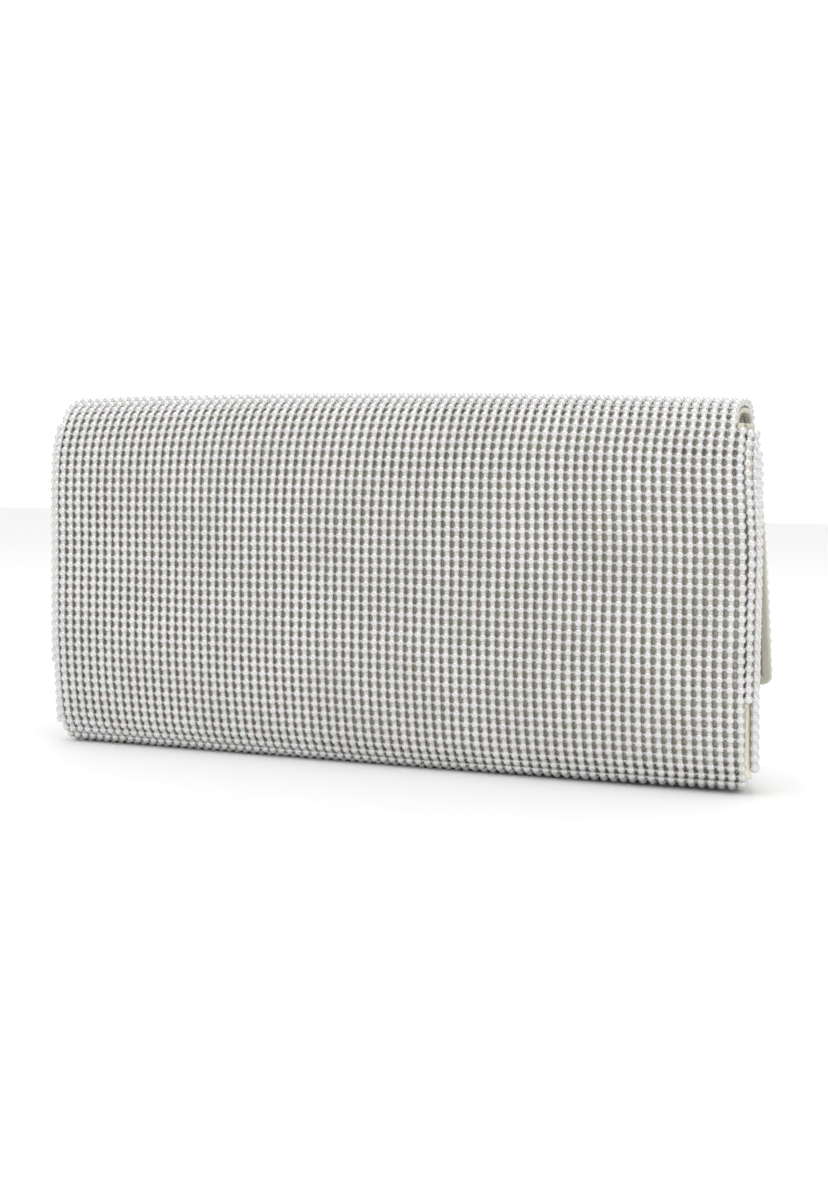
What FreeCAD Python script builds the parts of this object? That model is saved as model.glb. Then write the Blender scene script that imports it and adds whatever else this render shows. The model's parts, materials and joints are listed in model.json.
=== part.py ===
"""Evening bag: a flap-over clutch in silver ball mesh on champagne satin.

Frame: millimetres, X along the width, +Z up, the flap on the -Y side and the plain back on +Y.
The origin is under the middle of the bag, on the surface that it stands on.

One strip of ball mesh runs from the front lip down, under the bottom, up the back, over the top
and down the front again as the flap. Under it lie, in order, a satin backing, a board and the
lining. Their common cross-section is a chain of lines and tangent arcs, which each layer follows
at its own depth. The top of the strip is soft, and is cut at three hinge lines into two fold
segments and the flap, so that the flap can unroll upwards. Flat gussets close both sides, and a
magnetic snap holds the flap to the front.
"""

import os
from math import cos, radians, sin, sqrt

import FreeCAD, Part

V = FreeCAD.Vector

# Driving dimensions -----------------------------------------------------------------------------
BACK_HALF = 121.2            # half width at the back, to where the faces would meet
FRONT_HALF = 111.4           # the same at the front: the gussets lean in towards it
BASE_HALF = 7.3              # half of the flat that the bag stands on
CORNER_RADIUS = 7.0          # upright edges between the faces and the gussets, outside
REAR_HALF_WIDTH = 113.0      # the strip where it starts to fold over the top
FOLD_HALF_WIDTH = 108.8      # the strip past the top of the fold
FLAP_HALF_WIDTH = 114.0      # the flap at its free edge
FLAP_CORNER = 3.0            # corner radius of the flap's free edge
BINDING = 1.6                # width of the satin edge on the fold and the flap
LIP_TOP = 98.2               # top of the bound edge of the opening
LIP_BINDING = 2.2            # height of that bound edge
BOTTOM_TOP = 5.0             # height at which the bottom meets the front and the back
HINGE_GAP = 0.15             # from each hinge line to the cut end of a layer

# Depth of each layer below the outside of the ball mesh
MESH = (0.0, 2.4)
BACKING = (2.4, 2.9)
BOARD = (2.9, 3.9)
LINING = (3.9, 4.3)
INSIDE = LINING[1]
POCKET = (LINING[1], LINING[1] + 0.4)

# The strip from the middle of the bottom: (name, radius or length, turn in degrees).
# A turn of 0 is a straight line.
SIDE = [
    ("base", BASE_HALF, 0),
    ("foot", 5.0, 45),
    ("lower", 18.0, 33),
    ("belly", 150.0, 12),
    ("wall", 26.8, 0),
    ("shoulder", 125.0, 12),
    ("neck", 43.0, 8),
]
FOLD_REAR = [("rear_start", 43.0, 10), ("rear_top", 15.5, 60)]
FOLD_FRONT = [("front_top", 18.0, 60)]
FLAP = [("flap_neck", 43.0, 18), ("flap_belly", 165.0, 11), ("flap_end", 33.5, 0)]
STRIP = SIDE + FOLD_REAR + FOLD_FRONT + FLAP

# Magnetic snap
SNAP_Z = 52.0
SNAP_RADIUS = 9.0
SOCKET_HEIGHT = 3.8
SOCKET_PLATE = 0.5
SOCKET_WALL = 0.6
SOCKET_BORE = 3.0
STUD_PLATE = 1.1
STUD_RADIUS = (2.2, 1.8)     # at its root and its tip
STUD_LENGTH = 2.0
WASHER_RADIUS = 7.0
WASHER_THICK = 0.5
LEG_WIDTH, LEG_THICK, LEG_APART, LEG_BENT = 3.0, 0.35, 3.4, 2.6
SNAP_HOLE = 10.0             # opening in the ball mesh around the socket
BOARD_HOLE = 7.5             # opening in the boards over the washers
FIT = 0.05                   # between the magnet and its case

# Slip pocket on the back lining
POCKET_HALF_WIDTH = 70.0
POCKET_Z = (28.0, 82.0)

CREASE = 0.02                # how far the upright rounding stands off the faces, so that they cross
FAR = 400.0                  # longer than anything in the bag
WIDE_Y = 60.0                # past the bag's front and back


# The strip's line -------------------------------------------------------------------------------
def walk(depth):
    """The strip's line at a depth below its outside, as [(name, start, middle, end, heading)] in
    (Y, Z). Headings are in degrees at each piece's end, from +Y towards +Z."""
    y, z, heading = 0.0, depth, 0.0
    pieces = []
    for name, size, turn in STRIP:
        start = (y, z)
        h0, h1 = radians(heading), radians(heading + turn)
        if turn:
            r = size - depth
            hm = (h0 + h1) / 2
            middle = (y + r * (sin(hm) - sin(h0)), z + r * (cos(h0) - cos(hm)))
            y, z = y + r * (sin(h1) - sin(h0)), z + r * (cos(h0) - cos(h1))
        else:
            middle = (y + size / 2 * cos(h0), z + size / 2 * sin(h0))
            y, z = y + size * cos(h0), z + size * sin(h0)
        heading += turn
        pieces.append((name, start, middle, (y, z), heading))
    return pieces


def point_after(name, depth=0.0):
    """The (Y, Z) point and heading at the end of a named piece of the strip."""
    for piece in walk(depth):
        if piece[0] == name:
            return piece[3], piece[4]
    raise ValueError(name)


MID_Y = -(point_after("flap_end")[0][0] + point_after("belly")[0][0]) / 2


def at(y, z, x=0.0):
    """A point of the model from (Y, Z) measured from the middle of the bag's body."""
    return V(x, y + MID_Y, z)


def edges(depth, names, side):
    """Edges of the strip's line at a depth over some named pieces. side -1 mirrors it to -Y."""
    made = []
    for name, a, m, b, _ in walk(depth):
        if name not in names:
            continue
        pa, pm, pb = at(side * a[0], a[1]), at(side * m[0], m[1]), at(side * b[0], b[1])
        turn = dict((n, t) for n, _, t in STRIP)[name]
        made.append(Part.Arc(pa, pm, pb).toShape() if turn else Part.LineSegment(pa, pb).toShape())
    return made


def band(layer, pieces, half_width, side=1):
    """A layer of the strip over some pieces, as a solid of that half width."""
    names = [p[0] for p in pieces]
    outer, inner = edges(layer[0], names, side), edges(layer[1], names, side)
    first = Part.LineSegment(outer[0].Vertexes[0].Point, inner[0].Vertexes[0].Point).toShape()
    last = Part.LineSegment(outer[-1].Vertexes[-1].Point, inner[-1].Vertexes[-1].Point).toShape()
    wire = Part.Wire(Part.__sortEdges__(outer + [last] + inner + [first]))
    face = Part.Face(wire)
    face.translate(V(-half_width, 0, 0))
    return face.extrude(V(2 * half_width, 0, 0))


def block(x, y, z):
    """A box from three (low, high) pairs, with Y measured from the middle of the body."""
    size = [hi - lo for lo, hi in (x, y, z)]
    return Part.makeBox(*size, V(x[0], y[0] + MID_Y, z[0]))


# The body's envelope ----------------------------------------------------------------------------
def envelope(depth):
    """Everything inside the body at a depth: the cross-section, between rounded upright edges."""
    names = [p[0] for p in SIDE]
    rear, front = edges(depth, names, 1), edges(depth, names, -1)
    top = Part.LineSegment(rear[-1].Vertexes[-1].Point, front[-1].Vertexes[-1].Point).toShape()
    wire = Part.Wire(Part.__sortEdges__(rear + [top] + front))
    face = Part.Face(wire)
    face.translate(V(-BACK_HALF, 0, 0))
    body = face.extrude(V(2 * BACK_HALF, 0, 0))
    column = between_gussets(depth, point_after("belly", depth)[0][0] + CREASE)
    upright = [
        e for e in column.Edges
        if abs(e.Vertexes[0].Point.z - e.Vertexes[-1].Point.z) > FAR / 2
    ]
    return body.common(column.makeFillet(CORNER_RADIUS - depth, upright))


def between_gussets(depth, half_y):
    """The upright block between the leaning gussets at a depth, and between y -half_y and half_y."""
    face_y = point_after("belly")[0][0]
    lean = (BACK_HALF - FRONT_HALF) / (2 * face_y)
    middle = (BACK_HALF + FRONT_HALF) / 2 - depth * sqrt(1 + lean ** 2)
    x_front, x_back = middle - lean * half_y, middle + lean * half_y
    corners = [(-x_front, -half_y), (x_front, -half_y), (x_back, half_y), (-x_back, half_y)]
    points = [at(y, -1.0, x) for x, y in corners]
    return Part.Face(Part.makePolygon(points + points[:1])).extrude(V(0, 0, FAR))


def shell(layer):
    """One layer of the body on all its sides, with the opening at the top."""
    return envelope(layer[0]).cut(envelope(layer[1]))


def face_part(layer, side):
    """A layer's back (side 1) or front (side -1), between the gussets."""
    y = (0, FAR) if side > 0 else (-FAR, 0)
    top = FAR if side > 0 else LIP_TOP - LIP_BINDING
    part = shell(layer).common(block((-FAR, FAR), y, (BOTTOM_TOP, top)))
    part = part.common(between_gussets(layer[1], WIDE_Y))
    return part.common(wedge("neck", True)) if side > 0 else part


def bottom_part(layer):
    low = block((-FAR, FAR), (-FAR, FAR), (-1, BOTTOM_TOP))
    return shell(layer).common(low).common(between_gussets(layer[1], WIDE_Y))


def gusset_part(layer, side):
    """A layer's left (side -1) or right (side 1) end, as a flat panel with rounded edges."""
    x = (0, FAR) if side > 0 else (-FAR, 0)
    half = block(x, (-FAR, FAR), (-1, LIP_TOP - LIP_BINDING))
    return shell(layer).common(half).cut(between_gussets(layer[1], WIDE_Y))


# Cuts in the strip at the hinge lines -----------------------------------------------------------
def wedge(name, before):
    """Everything on one side of the radial plane at the end of a piece, less the hinge gap."""
    (y, z), heading = point_after(name)
    box = Part.makeBox(2 * FAR, FAR, 2 * FAR, V(-FAR, 0, -FAR))
    box.translate(V(0, HINGE_GAP, 0))
    box.rotate(V(0, 0, 0), V(1, 0, 0), heading + (180 if before else 0))
    box.translate(at(y, z))
    return box


# Fold and flap ----------------------------------------------------------------------------------
def flap_outline(inset):
    """The flap seen from the front, less an inset from its edges, as a block through Y."""
    top_z = point_after("front_top")[0][1]
    low_z = point_after("flap_end")[0][1] + inset
    full = point_after("flap_end")[0][1]
    slope = (FLAP_HALF_WIDTH - FOLD_HALF_WIDTH) / (top_z - full)
    up = top_z + 20
    x_up = FOLD_HALF_WIDTH - slope * 20 - inset
    x_low = FLAP_HALF_WIDTH - inset - slope * inset
    corners = [(-x_up, up), (x_up, up), (x_low, low_z), (-x_low, low_z)]
    points = [V(x, -FAR, z) for x, z in corners]
    wire = Part.makePolygon(points + points[:1])
    solid = Part.Face(wire).extrude(V(0, 2 * FAR, 0))
    low = [
        e for e in solid.Edges
        if e.Length > FAR and e.Vertexes[0].Point.z < low_z + 1
    ]
    return solid.makeFillet(max(FLAP_CORNER - inset, 1.0), low)


def fold_part(layer, pieces, first, last, half_width):
    """A layer of a fold segment, between the hinge lines after two pieces."""
    part = band(layer, pieces, half_width)
    part = part.common(wedge(first, False))
    return part.common(wedge(last, True))


def fold_binding(pieces, first, last, half_width):
    """Both edges of a fold segment, as two solids."""
    whole = fold_part((0.0, INSIDE), pieces, first, last, half_width)
    core = fold_part((-1.0, INSIDE + 1), pieces, first, last, half_width - BINDING)
    return whole.cut(core)


def flap_part(layer, inset):
    part = band(layer, FLAP, FLAP_HALF_WIDTH).common(flap_outline(inset))
    return part.common(wedge("front_top", False))


def flap_binding():
    whole = flap_part((0.0, INSIDE), 0.0)
    core = flap_outline(BINDING)
    return whole.cut(core)


# Magnetic snap ----------------------------------------------------------------------------------
class Stack:
    """Round pieces along an axis: depths are measured outwards from its foot."""

    def __init__(self, foot, direction):
        self.foot, self.direction = foot, direction
        self.turn = FreeCAD.Rotation(V(0, 0, 1), direction)

    def place(self, shape):
        shape.Placement = FreeCAD.Placement(self.foot, self.turn).multiply(shape.Placement)
        return shape

    def disc(self, radius, low, high, tip=None):
        base = V(0, 0, low)
        if tip is None:
            return self.place(Part.makeCylinder(radius, high - low, base))
        return self.place(Part.makeCone(radius, tip, high - low, base))

    def bar(self, across, up, low, high):
        """A box from its (low, high) across, up and along the axis."""
        size = (across[1] - across[0], up[1] - up[0], high - low)
        return self.place(Part.makeBox(*size, V(across[0], up[0], low)))


def legs(stack, cloth, grow=0.0, bent=True):
    """Two legs through a cloth and a washer, bent outwards. With grow, the slots for them."""
    made = []
    for side in (-1, 1):
        across = sorted((side * (LEG_APART - grow), side * (LEG_APART + LEG_THICK + grow)))
        up = (-LEG_WIDTH / 2 - grow, LEG_WIDTH / 2 + grow)
        low = -(cloth + WASHER_THICK)
        made.append(stack.bar(across, up, low - (0 if bent else FIT), FIT if grow else 0.0))
        if bent:
            out = sorted((side * LEG_APART, side * (LEG_APART + LEG_BENT)))
            made.append(stack.bar(out, up, low - LEG_THICK, low))
    return made


def fuse(shapes):
    made = shapes[0]
    for s in shapes[1:]:
        made = made.fuse(s)
    return made.removeSplitter()


def cut(shape, tools):
    for t in tools:
        shape = shape.cut(t)
    return shape


FRONT_Y = -point_after("belly")[0][0]
SOCKET = Stack(at(FRONT_Y + BACKING[0], SNAP_Z), V(0, -1, 0))
SOCKET_CLOTH = BACKING[1] - BACKING[0]

_end, _heading = point_after("flap_end", INSIDE)
_up = (SNAP_Z - _end[1]) / sin(radians(_heading))
_into = radians(_heading + 90)
STUD = Stack(at(_end[0] + _up * cos(radians(_heading)), SNAP_Z), V(0, cos(_into), sin(_into)))
STUD_CLOTH = LINING[1] - LINING[0]


def socket_base():
    return fuse([SOCKET.disc(SNAP_RADIUS, 0, SOCKET_PLATE)] + legs(SOCKET, SOCKET_CLOTH))


def socket_case():
    """A cup over the magnet with a tube in its middle, open to the stud."""
    top = SOCKET_HEIGHT
    cup = SOCKET.disc(SNAP_RADIUS, SOCKET_PLATE, top)
    cup = cup.cut(SOCKET.disc(SNAP_RADIUS - SOCKET_WALL, SOCKET_PLATE - 1, top - SOCKET_WALL))
    tube = SOCKET.disc(SOCKET_BORE + SOCKET_WALL, SOCKET_PLATE, top)
    return fuse([cup, tube]).cut(SOCKET.disc(SOCKET_BORE, 0, top + 1))


def magnet():
    low, high = SOCKET_PLATE + FIT, SOCKET_HEIGHT - SOCKET_WALL - FIT
    ring = SOCKET.disc(SNAP_RADIUS - SOCKET_WALL - FIT, low, high)
    return ring.cut(SOCKET.disc(SOCKET_BORE + SOCKET_WALL + FIT, low - 1, high + 1))


def washer(stack, cloth):
    disc = stack.disc(WASHER_RADIUS, -(cloth + WASHER_THICK), -cloth)
    slots = legs(stack, cloth, grow=0.1, bent=False)
    return cut(disc, slots + [stack.disc(1.5, -5, 5)])


def stud():
    plate = STUD.disc(SNAP_RADIUS, 0, STUD_PLATE)
    post = STUD.disc(STUD_RADIUS[0], STUD_PLATE, STUD_PLATE + STUD_LENGTH, STUD_RADIUS[1])
    return fuse([plate, post] + legs(STUD, STUD_CLOTH))


# All the pieces ---------------------------------------------------------------------------------
def opening_binding():
    """The satin edge on the front lip and on the tops of both gussets."""
    ring = shell((0.0, INSIDE)).common(
        block((-FAR, FAR), (-FAR, FAR), (LIP_TOP - LIP_BINDING, LIP_TOP)))
    for layer in (MESH, BACKING, BOARD, LINING):
        ring = ring.cut(face_part(layer, 1))
    return ring


def slip_pocket():
    part = band(POCKET, SIDE, POCKET_HALF_WIDTH)
    return part.common(block((-FAR, FAR), (0, FAR), POCKET_Z))


def parts():
    made = {}
    socket_slots = legs(SOCKET, SOCKET_CLOTH, grow=0.1, bent=False)
    stud_slots = legs(STUD, STUD_CLOTH, grow=0.1, bent=False)
    front_cuts = {
        "bead_mesh": [SOCKET.disc(SNAP_HOLE, -1, 10)],
        "backing": socket_slots,
        "board": [SOCKET.disc(BOARD_HOLE, -5, 5)],
        "lining": [],
    }
    layers = {"bead_mesh": MESH, "backing": BACKING, "board": BOARD, "lining": LINING}
    for name, layer in layers.items():
        made["back_" + name] = face_part(layer, 1)
        made["front_" + name] = cut(face_part(layer, -1), front_cuts[name])
        made["bottom_" + name] = bottom_part(layer)
        if name != "board":
            made["left_gusset_" + name] = gusset_part(layer, -1)
            made["right_gusset_" + name] = gusset_part(layer, 1)
    made["opening_binding"] = opening_binding()
    made["slip_pocket"] = slip_pocket()

    fold_layers = {"bead_mesh": MESH, "backing": BACKING, "interlining": BOARD, "lining": LINING}
    folds = {
        "fold_rear": (FOLD_REAR, "neck", "rear_top", REAR_HALF_WIDTH),
        "fold_front": (FOLD_FRONT, "rear_top", "front_top", FOLD_HALF_WIDTH),
    }
    for fold, (*where, half_width) in folds.items():
        for name, layer in fold_layers.items():
            made[f"{fold}_{name}"] = fold_part(layer, *where, half_width - BINDING)
        made[f"{fold}_binding"] = fold_binding(*where, half_width)

    flap_cuts = {"board": [STUD.disc(BOARD_HOLE, -5, 5)], "lining": stud_slots}
    for name, layer in layers.items():
        made["flap_" + name] = cut(flap_part(layer, BINDING), flap_cuts.get(name, []))
    made["flap_edge_binding"] = flap_binding()

    made["snap_socket_base"] = socket_base()
    made["snap_socket_case"] = socket_case()
    made["snap_magnet"] = magnet()
    made["snap_socket_washer"] = washer(SOCKET, SOCKET_CLOTH)
    made["snap_stud"] = stud()
    made["snap_stud_washer"] = washer(STUD, STUD_CLOTH)
    return made


os.makedirs("parts", exist_ok=True)
for part_name, shape in parts().items():
    shape = shape.removeSplitter()
    solids = shape.Solids
    print(f"{part_name:28s} solids {len(solids)} valid {shape.isValid()} volume {shape.Volume:9.1f}")
    node = solids[0] if len(solids) == 1 else Part.makeCompound(solids)
    node.exportStep(f"parts/{part_name}.step")
for hinge in ("neck", "rear_top", "front_top"):
    (hy, hz), _ = point_after(hinge)
    print(f"hinge after {hinge}: Y {hy + MID_Y:.4f} Z {hz:.4f}")
print(f"middle of the body at Y {MID_Y:.4f}")
print(f"stud axis foot {STUD.foot}")
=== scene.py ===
"""Evening bag: a flap-over clutch of silver ball mesh on champagne satin.

Sizes here are in millimetres, as in the CAD model, and meshes are written in metres. The mesh of
balls follows one strip, from the front lip down, under the bottom, up the back, over the top and
down the front again as the flap. A place on the strip is (c, s, depth): c across the width, s along
the strip at the depth of the balls' centres, and depth below the outside of the balls.
"""

import json
from math import atan, cos, pi, radians, sin, sqrt

import bmesh
import bpy
import numpy as np
from mathutils import Matrix, Vector


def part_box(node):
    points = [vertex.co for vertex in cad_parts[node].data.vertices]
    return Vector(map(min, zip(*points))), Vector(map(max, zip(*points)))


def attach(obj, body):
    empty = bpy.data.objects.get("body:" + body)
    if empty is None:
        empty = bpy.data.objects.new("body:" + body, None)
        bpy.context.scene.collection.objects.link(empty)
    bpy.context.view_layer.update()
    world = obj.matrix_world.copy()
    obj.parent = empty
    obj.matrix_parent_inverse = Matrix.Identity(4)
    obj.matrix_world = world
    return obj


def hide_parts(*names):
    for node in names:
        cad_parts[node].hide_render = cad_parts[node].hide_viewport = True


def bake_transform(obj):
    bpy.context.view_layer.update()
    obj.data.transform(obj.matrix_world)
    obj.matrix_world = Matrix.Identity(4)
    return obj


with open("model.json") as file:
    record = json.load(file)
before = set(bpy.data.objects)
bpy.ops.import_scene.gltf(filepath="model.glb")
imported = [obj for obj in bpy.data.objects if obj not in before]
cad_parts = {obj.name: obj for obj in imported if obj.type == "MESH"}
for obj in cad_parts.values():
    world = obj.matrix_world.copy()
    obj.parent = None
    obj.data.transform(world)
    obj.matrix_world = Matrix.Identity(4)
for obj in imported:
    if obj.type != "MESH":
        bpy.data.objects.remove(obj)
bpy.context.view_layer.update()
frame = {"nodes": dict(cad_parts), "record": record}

MM = 0.001
RNG = np.random.default_rng(7)

# The design's sizes -----------------------------------------------------------------------------
BALL = 1.33                  # depth of a ball's centre
BALL_RADIUS = 1.36
PITCH_ACROSS = 3.0
PITCH_ALONG = 2.91
COLUMNS = 78
BACK_HALF = 121.2            # half width at the back, to where the faces would meet
FRONT_HALF = 111.4           # the same at the front: the gussets lean in towards it
CORNER = 7.0                 # radius of the bag's upright edges
LIP = 96.0                   # height of the mesh at the opening
LIP_TOP = 98.2
GUSSET_RISE = 9.5            # how much higher the gussets are at the back
STEP_Z = 105.5               # where the strip loses its last column on the left
BOTTOM_TOP = 5.0             # height at which the bottom meets the front and the back
BINDING = 1.6                # width of the satin edge on the fold and the flap
BACKING = (2.62, 2.9)
INTERLINING = (2.95, 3.85)
LINING = (3.9, 4.3)
SNAP_HOLE = 10.0             # radius of the round gap in the balls at the snap's socket
BOW = 0.6                    # how much the middle of the top is raised
BOW_FALL = 1.6               # how much lower than that the top is, 110 mm out
TILT = 0.0066                # slope of the top to the right
DRAW_LEFT = 0.021            # share of its width by which the left end of the fold is drawn in
SPREAD_RIGHT = 0.015         # the same for the right end, which spreads
CORNER_LIFT = 0.8            # how much the bottom corner at the left is lifted
GUSSET_COLUMNS = 11
GUSSET_ROWS = 34
GUSSET_DISH = 0.35           # how much a gusset's soft middle sinks in

STRIP = [
    ("base", 7.3, 0),
    ("foot", 5.0, 45),
    ("lower", 18.0, 33),
    ("belly", 150.0, 12),
    ("wall", 26.8, 0),
    ("shoulder", 125.0, 12),
    ("neck", 43.0, 8),
    ("rear_start", 43.0, 10),
    ("rear_top", 15.5, 60),
    ("front_top", 18.0, 60),
    ("flap_neck", 43.0, 18),
    ("flap_belly", 165.0, 11),
    ("flap_end", 33.5, 0),
]


# Places taken from the frame --------------------------------------------------------------------
def node_box(node):
    low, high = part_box(node)
    return np.array(low) / MM, np.array(high) / MM


_bottom = node_box("bottom_bead_mesh")
MID_Y = (_bottom[0][1] + _bottom[1][1]) / 2
FOLD_HALF = node_box("fold_front_binding")[1][0]
FLAP_HALF = node_box("flap_edge_binding")[1][0]
SOCKET_Z = sum(box[2] for box in node_box("snap_socket_case")) / 2


# The strip --------------------------------------------------------------------------------------
class Strip:
    """The strip's line at the depth of the balls' centres, sampled finely along its arcs."""

    def __init__(self, pieces, samples=40):
        y, z, heading, length = 0.0, BALL, 0.0, 0.0
        rows = [(0.0, y, z, 0.0)]
        self.end = {}
        for name, size, turn in pieces:
            span = (size - BALL) * radians(turn) if turn else size
            for k in range(1, samples + 1):
                part = k / samples
                if turn:
                    h0, h1 = radians(heading), radians(heading + turn * part)
                    r = size - BALL
                    here = (y + r * (sin(h1) - sin(h0)), z + r * (cos(h0) - cos(h1)))
                else:
                    h0 = radians(heading)
                    here = (y + size * part * cos(h0), z + size * part * sin(h0))
                rows.append((length + span * part, *here, heading + turn * part))
            y, z = here
            heading += turn
            length += span
            self.end[name] = length
        self.s, self.y, self.z, self.h = np.array(rows).T

    def at(self, s):
        """y, z and heading in radians. A negative s is on the front, mirrored."""
        side = np.where(np.asarray(s) < 0, -1.0, 1.0)
        a = np.abs(s)
        y, z, h = (np.interp(a, self.s, v) for v in (self.y, self.z, self.h))
        return side * y, z, np.radians(h), side

    def height(self, z, top="neck"):
        """The s at which the side of the bag reaches a height."""
        part = self.s <= self.end[top] + 1e-6
        return float(np.interp(z, self.z[part], self.s[part]))


strip = Strip(STRIP)
S_BOTTOM = strip.height(BOTTOM_TOP)
S_LIP = strip.height(LIP)
S_REAR = strip.end["neck"]
S_TOP = strip.end["rear_top"]
S_FRONT = strip.end["front_top"]
S_END = strip.end["flap_end"]
S_MID_REAR = (S_REAR + S_TOP) / 2
S_MID_FRONT = (S_TOP + S_FRONT) / 2
BEND = 6.0                   # how far the fold's pieces reach past the hinge lines at its ends
Y_MAX = float(strip.y[strip.s <= S_REAR].max())

# The plan of the bag at the balls' centres: leaning gussets between rounded upright edges
ROUND = CORNER - BALL
ROUND_Y = Y_MAX + BALL - CORNER                    # y of the centres of the rounded edges
LEAN = (BACK_HALF - FRONT_HALF) / (2 * (Y_MAX + BALL))
LEAN_ANGLE = atan(LEAN)
ROUND_X = (BACK_HALF + FRONT_HALF) / 2 - CORNER * sqrt(1 + LEAN ** 2)
BACK_FLAT = ROUND_X + LEAN * ROUND_Y
FRONT_FLAT = ROUND_X - LEAN * ROUND_Y
BACK_SEAM = radians(41.5)                          # how far round the edge each seam lies
FRONT_SEAM = radians(45)
BACK_GIRTH = BACK_FLAT + ROUND * BACK_SEAM
FRONT_GIRTH = FRONT_FLAT + ROUND * FRONT_SEAM
S_STEP = strip.height(STEP_Z, "rear_top")


def half_width(s, sign, step=S_STEP):
    """Half of the strip's width, to the right (sign 1) or left (-1), round the upright edges.
    Above the step the mesh keeps its width on the right, and loses a column on the left."""
    body = np.interp(s, [-S_BOTTOM, S_BOTTOM], [FRONT_GIRTH, BACK_GIRTH])
    knots = [S_STEP, S_TOP, S_FRONT, S_FRONT + 9, S_END]
    right = np.interp(s, knots, [BACK_GIRTH, BACK_GIRTH - 0.6, FOLD_HALF + 3, FOLD_HALF + 2, FLAP_HALF])
    left = np.interp(s, knots, [BACK_GIRTH - PITCH_ACROSS, FOLD_HALF + 2.2, FOLD_HALF, FOLD_HALF + 0.5,
                                FLAP_HALF])
    return np.where(np.asarray(s) > step, np.where(np.asarray(sign) > 0, right, left), body)


def waver(a, b, size):
    """A slow unevenness of hand-made cloth over two coordinates in mm."""
    return size * (0.45 * np.sin(a / 17.0 + 1.3 * np.sin(b / 23.0))
                   + 0.35 * np.sin(b / 13.0 - 0.7 + 0.8 * np.sin(a / 31.0))
                   + 0.20 * np.sin((a + b) / 7.5 + 2.1))


def smooth(t):
    t = np.clip(t, 0, 1)
    return t * t * (3 - 2 * t)


def settle(point):
    """The soft bag isn't quite straight: its top bows, the fold draws in the left end and lets
    the right one spread, and the bottom corner at the left lifts a little."""
    x, y, z = (point[..., k].copy() for k in range(3))
    bow = BOW - BOW_FALL * (x / 110) ** 2 + TILT * x
    lift = CORNER_LIFT * np.clip((-x - 20) / 95, 0, 1)
    draw = np.where(x < 0, -DRAW_LEFT, SPREAD_RIGHT) * smooth((z - 66) / 36) * smooth((y + 5) / 15)
    point[..., 0] = x + draw * x
    point[..., 2] = z + bow * smooth((z - 70) / 40) + lift * (1 - smooth(z / 45))
    return point


def strip_place(u, s, depth):
    """Points and outward normals of the strip, u being the true distance across in mm."""
    u, s, depth = np.broadcast_arrays(*(np.asarray(v, float) for v in (u, s, depth)))
    y, z, h, side = strip.at(s)
    flat = np.where(np.abs(s) < S_BOTTOM, np.interp(s, [-S_BOTTOM, S_BOTTOM], [FRONT_FLAT, BACK_FLAT]),
                    np.where(s < 0, FRONT_FLAT, BACK_FLAT))
    fade = np.clip((S_STEP + 8 - s) / 6, 0, 1)
    past = np.clip(np.abs(u) - flat, 0, 12)
    turn = past / ROUND * fade
    across = np.sign(u) * (np.minimum(np.abs(u), flat) + ROUND * np.sin(turn) + past * (1 - fade))
    drop = ROUND * (1 - np.cos(turn)) * np.abs(y) / Y_MAX
    out = np.stack([np.sign(u) * np.sin(turn), side * np.cos(turn) * np.sin(h),
                    -np.cos(turn) * np.cos(h)], -1)
    point = np.stack([across, y - side * drop * np.sin(h), z], -1)
    point = point + out * (BALL - depth)[..., None]
    point[..., 1] += MID_Y
    return settle(point), out


GUSSET_FLAT = ROUND_Y * sqrt(1 + LEAN ** 2)       # half of a gusset's flat part
GUSSET_FRONT = -GUSSET_FLAT - ROUND * (pi / 2 - LEAN_ANGLE - FRONT_SEAM)
GUSSET_BACK = GUSSET_FLAT + ROUND * (pi / 2 + LEAN_ANGLE - BACK_SEAM)


def gusset_place(sign):
    """The place function of one gusset: v round it from the middle of its flat, z its height."""
    def place(v, z, depth):
        v, z, depth = np.broadcast_arrays(*(np.asarray(a, float) for a in (v, z, depth)))
        flat = np.clip(v, -GUSSET_FLAT, GUSSET_FLAT)
        angle = (v - flat) / ROUND - LEAN_ANGLE
        out = np.stack([np.cos(angle), np.sin(angle), np.zeros_like(v)], -1)
        x = ROUND_X + flat * sin(LEAN_ANGLE) + ROUND * out[..., 0]
        y = flat * cos(LEAN_ANGLE) + ROUND * out[..., 1]
        squeeze = (profile_y(z) / Y_MAX) ** np.where(z < 50, 0.6, 1.0)
        point = np.stack([x, y * squeeze, z], -1) + out * (BALL - depth)[..., None]
        point[..., 1] += MID_Y
        return settle(point * [sign, 1, 1]), out * [sign, 1, 1]
    return place


def profile_y(z):
    """Half of the bag's depth at a height, at the balls' centres."""
    side = strip.s <= S_TOP
    return np.interp(z, strip.z[side], strip.y[side])


def gusset_top(v):
    """Height of a gusset's top edge: it rises towards the back."""
    part = np.clip((v - GUSSET_FRONT) / (GUSSET_BACK - GUSSET_FRONT) / 0.7, 0, 1)
    return LIP + GUSSET_RISE * part ** 2 * (3 - 2 * part)


# Making meshes ----------------------------------------------------------------------------------
def new_object(name, points, faces, material, rounded=True):
    """A mesh object from points in mm and lists of faces."""
    mesh = bpy.data.meshes.new(name)
    mesh.from_pydata((np.asarray(points) * MM).tolist(), [], faces)
    mesh.update()
    if rounded:
        mesh.shade_smooth()
    else:
        mesh.shade_flat()
    mesh.materials.append(material)
    obj = bpy.data.objects.new(name, mesh)
    bpy.context.collection.objects.link(obj)
    return obj


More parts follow.
